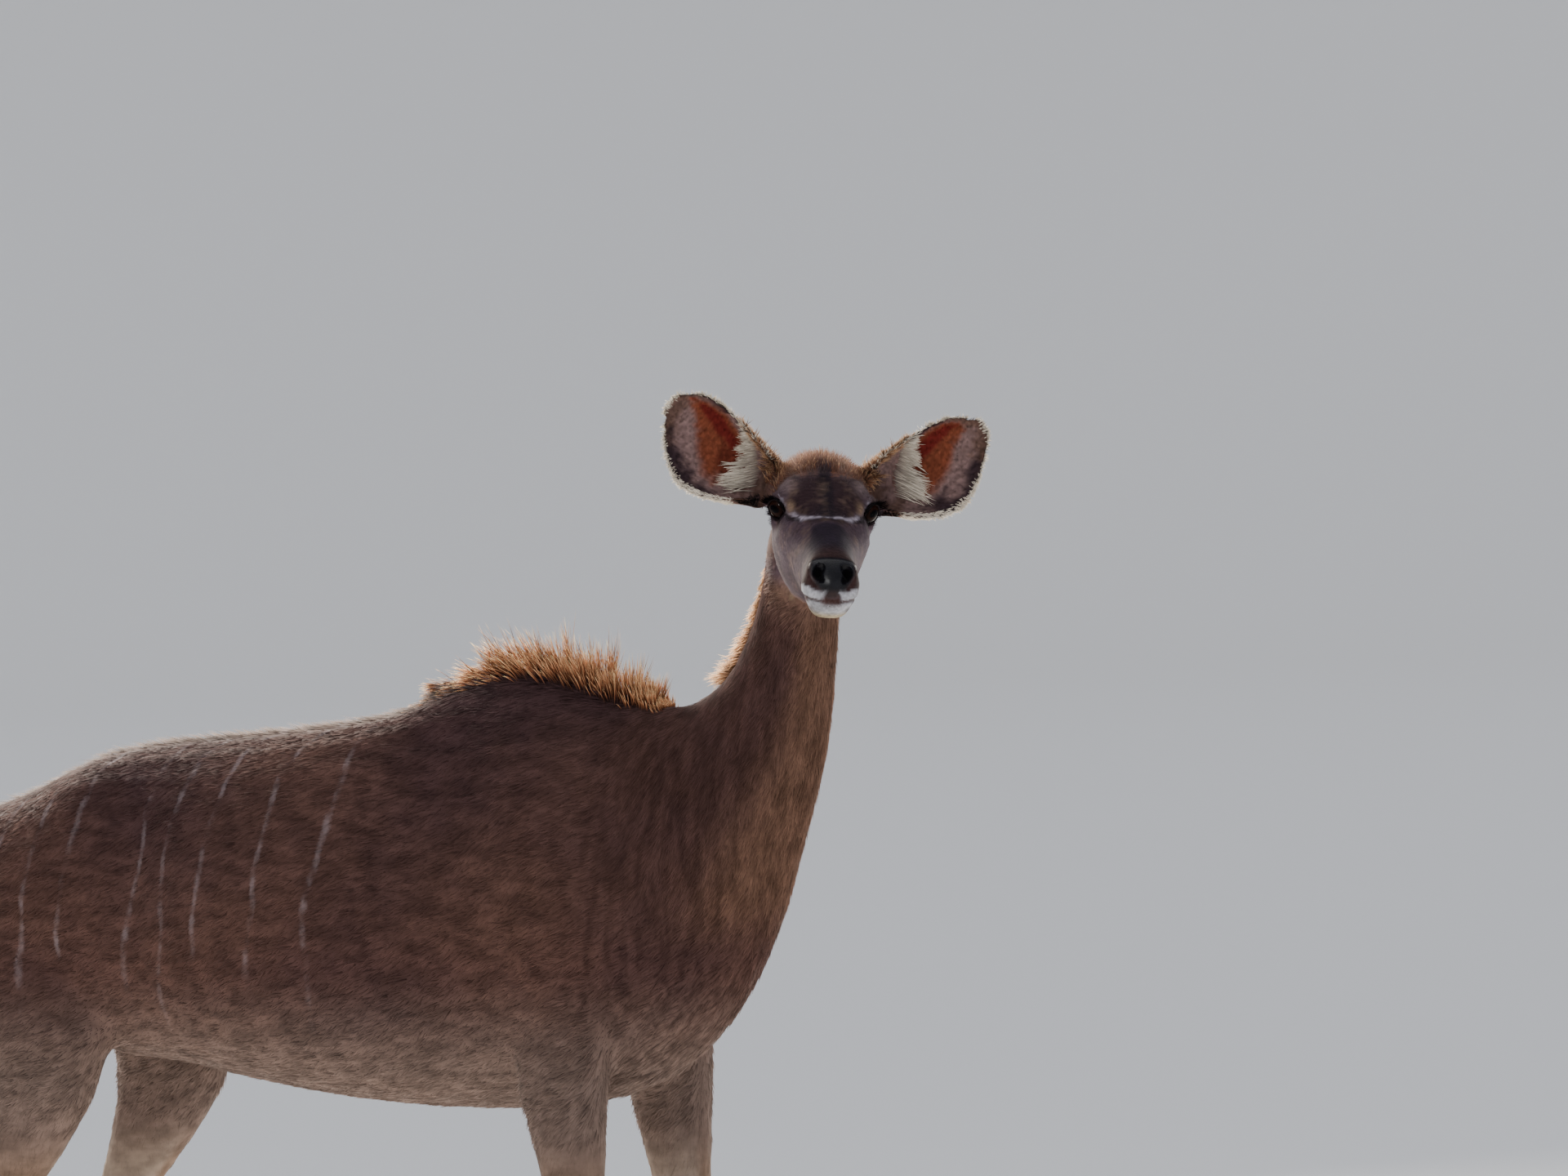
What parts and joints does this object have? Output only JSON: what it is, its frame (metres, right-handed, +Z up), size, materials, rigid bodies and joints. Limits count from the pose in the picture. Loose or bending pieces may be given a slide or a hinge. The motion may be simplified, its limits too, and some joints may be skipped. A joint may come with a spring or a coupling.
{
  "type": "standing antelope cow, greater kudu",
  "caption": "Life-size greater kudu cow standing at rest, hornless, neck raised, head turned to her right, large round ears spread, short mane over the withers.",
  "frame": {"origin": "on the floor, below the middle of the animal's outline", "axes": "+X towards her chest, +Y to her left, +Z up, with the soles of the hooves on z = 0"},
  "size_m": [1.6342, 0.4462, 1.5809],
  "materials": {
    "hide": "short dull coat, grey-brown with thin pale stripes, longer tawny mane on the withers and nape",
    "horn": "dark, slightly glossy hoof horn",
    "eye": "wet, very dark brown"
  },
  "bodies": {
    "root": {"ear_right": "hide", "ear_left": "hide", "head": "hide", "eye_right": "eye", "eye_left": "eye", "barrel": "hide", "hindquarters": "hide", "shoulders": "hide", "neck": "hide", "tail": "hide", "foreleg_upper_right": "hide", "foreleg_lower_right": "hide", "forehoof_outer_right": "horn", "forehoof_inner_right": "horn", "foreleg_upper_left": "hide", "foreleg_lower_left": "hide", "forehoof_outer_left": "horn", "forehoof_inner_left": "horn", "hindleg_upper_right": "hide", "hindleg_lower_right": "hide", "hindhoof_outer_right": "horn", "hindhoof_inner_right": "horn", "hindleg_upper_left": "hide", "hindleg_lower_left": "hide", "hindhoof_outer_left": "horn", "hindhoof_inner_left": "horn"}
  },
  "joints": []
}
